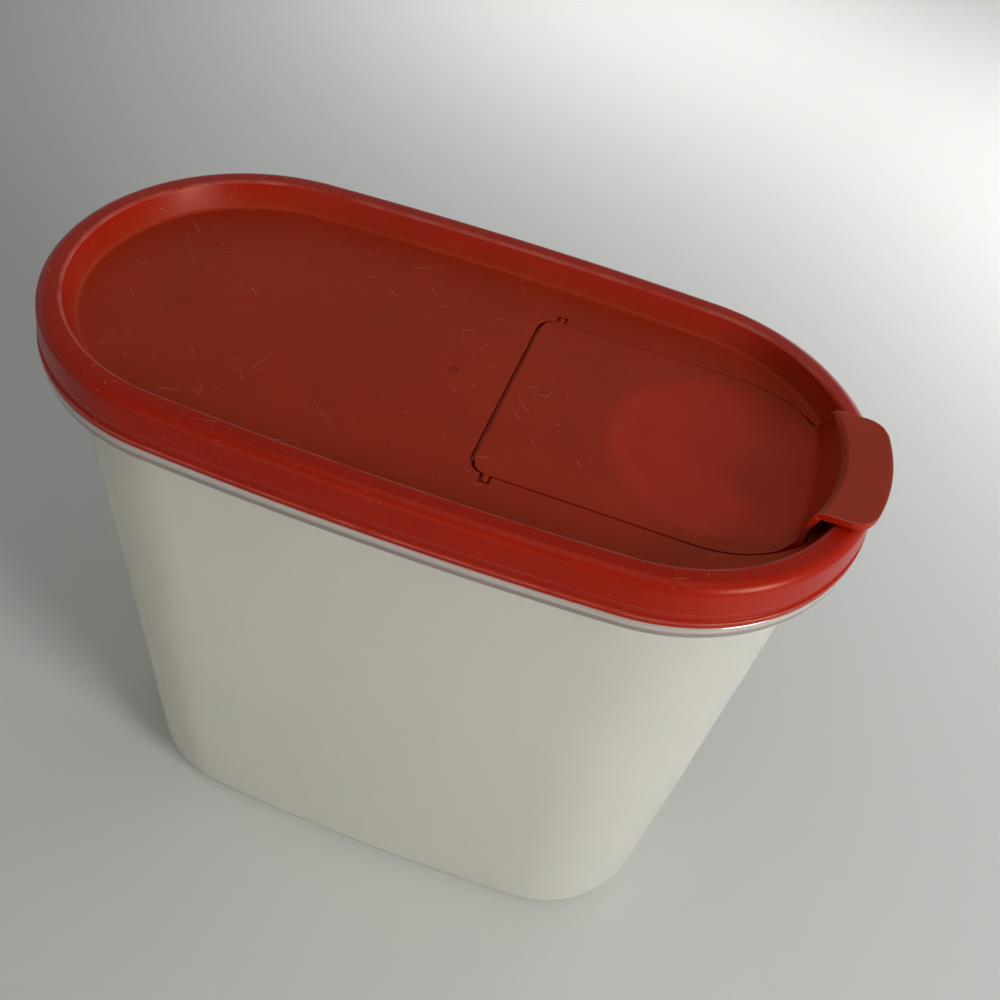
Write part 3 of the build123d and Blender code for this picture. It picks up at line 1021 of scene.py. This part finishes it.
def build_stage(scene):
    """Floor, soft light and the camera at the photograph's angle."""
    floor_mesh = bmesh.new()
    bmesh.ops.create_grid(floor_mesh, x_segments=1, y_segments=1, size=3.0)
    floor = piece_from("floor", floor_mesh)
    floor.data.materials.append(painted_floor(scene.keeper_colours))

    for name, place, aim, size, spread, energy in LAMPS:
        lamp = bpy.data.lights.new(name, "AREA")
        lamp.shape = "DISK"
        lamp.size = size
        lamp.spread = math.radians(spread)
        lamp.energy = energy
        softbox = bpy.data.objects.new(name, lamp)
        softbox.location = place
        softbox.rotation_mode = "QUATERNION"
        softbox.rotation_quaternion = (Vector(aim) - softbox.location).to_track_quat("-Z", "Y")
        scene.collection.objects.link(softbox)

    world = bpy.data.worlds.new("soft room light")
    world.use_nodes = True
    tree = world.node_tree
    rays = node(tree, "ShaderNodeLightPath").outputs
    seen = rays["Is Camera Ray"]
    for kind in ("Is Glossy Ray", "Is Transmission Ray"):
        seen = node(tree, "ShaderNodeMath", {"operation": "MAXIMUM"}, {0: seen, 1: rays[kind]}).outputs[0]
    strength = node(tree, "ShaderNodeMapRange", {"To Min": ROOM_LIGHT, "To Max": BACKDROP}, {"Value": seen})
    background = tree.nodes["Background"].inputs
    background["Color"].default_value = (1.0, 1.0, 1.0, 1)
    tree.links.new(strength.outputs[0], background["Strength"])
    scene.world = world

    # The camera's place, angles and lens come from a fit to the outlines in the photograph
    camera_place = Vector((59.677, -223.002, 419.649)) * MM
    azimuth, elevation, roll = (math.radians(a) for a in (10.1144, 47.1134, 11.3495))
    level = math.cos(elevation)
    back = Vector((math.sin(azimuth) * level, -math.cos(azimuth) * level, math.sin(elevation)))
    view = bpy.data.cameras.new("photo view")
    view.sensor_width = 36
    view.lens = 39.024
    view.clip_start = 0.01
    camera = bpy.data.objects.new("photo view", view)
    camera.location = camera_place
    camera.rotation_mode = "QUATERNION"
    camera.rotation_quaternion = (-back).to_track_quat("-Z", "Y") @ Quaternion((0, 0, 1), roll)
    scene.collection.objects.link(camera)
    scene.camera = camera
    scene.view_settings.view_transform = "Standard"


# Operators and panel


class KEEPER_OT_tub(Operator):
    """Build the milky tub"""

    bl_idname = "keeper.tub"
    bl_label = "Tub"

    def execute(self, context):
        build_tub(context.scene)
        return {"FINISHED"}


class KEEPER_OT_seal(Operator):
    """Build the red seal"""

    bl_idname = "keeper.seal"
    bl_label = "Seal"

    def execute(self, context):
        build_seal(context.scene)
        return {"FINISHED"}


class KEEPER_OT_flap(Operator):
    """Build the red pour flap"""

    bl_idname = "keeper.flap"
    bl_label = "Pour Flap"

    def execute(self, context):
        build_flap(context.scene)
        return {"FINISHED"}


class KEEPER_OT_stage(Operator):
    """Build the floor, the light and the camera"""

    bl_idname = "keeper.stage"
    bl_label = "Stage"

    def execute(self, context):
        build_stage(context.scene)
        return {"FINISHED"}


class KEEPER_PT_sidebar(Panel):
    """Lists the keeper's pieces and sizes"""

    bl_label = "Oval Pour Keeper"
    bl_idname = "KEEPER_PT_sidebar"
    bl_space_type = "VIEW_3D"
    bl_region_type = "UI"
    bl_category = "Keeper"

    def draw(self, context):
        for group in GROUPS:
            column = self.layout.column(align=True)
            sizes = getattr(context.scene, group)
            for name in sizes.__annotations__:
                column.prop(sizes, name)
        for operator in OPERATORS:
            self.layout.operator(operator.bl_idname)


GROUPS = {
    "keeper_oval": KeeperOval,
    "keeper_tub": KeeperTub,
    "keeper_seal": KeeperSeal,
    "keeper_flap": KeeperFlap,
    "keeper_colours": KeeperColours,
}
OPERATORS = (KEEPER_OT_tub, KEEPER_OT_seal, KEEPER_OT_flap, KEEPER_OT_stage)


def register():
    """Makes the sizes, operators and panel known to Blender."""
    for cls in (*GROUPS.values(), *OPERATORS, KEEPER_PT_sidebar):
        bpy.utils.register_class(cls)
    for name, cls in GROUPS.items():
        setattr(bpy.types.Scene, name, PointerProperty(type=cls))


def unregister():
    """Takes the sizes, operators and panel away again."""
    for name in GROUPS:
        delattr(bpy.types.Scene, name)
    for cls in reversed((*GROUPS.values(), *OPERATORS, KEEPER_PT_sidebar)):
        bpy.utils.unregister_class(cls)


def main():
    """Builds the keeper and its stage."""
    register()
    bpy.ops.keeper.tub()
    bpy.ops.keeper.seal()
    bpy.ops.keeper.flap()
    bpy.ops.keeper.stage()


if __name__ == "__main__":
    main()
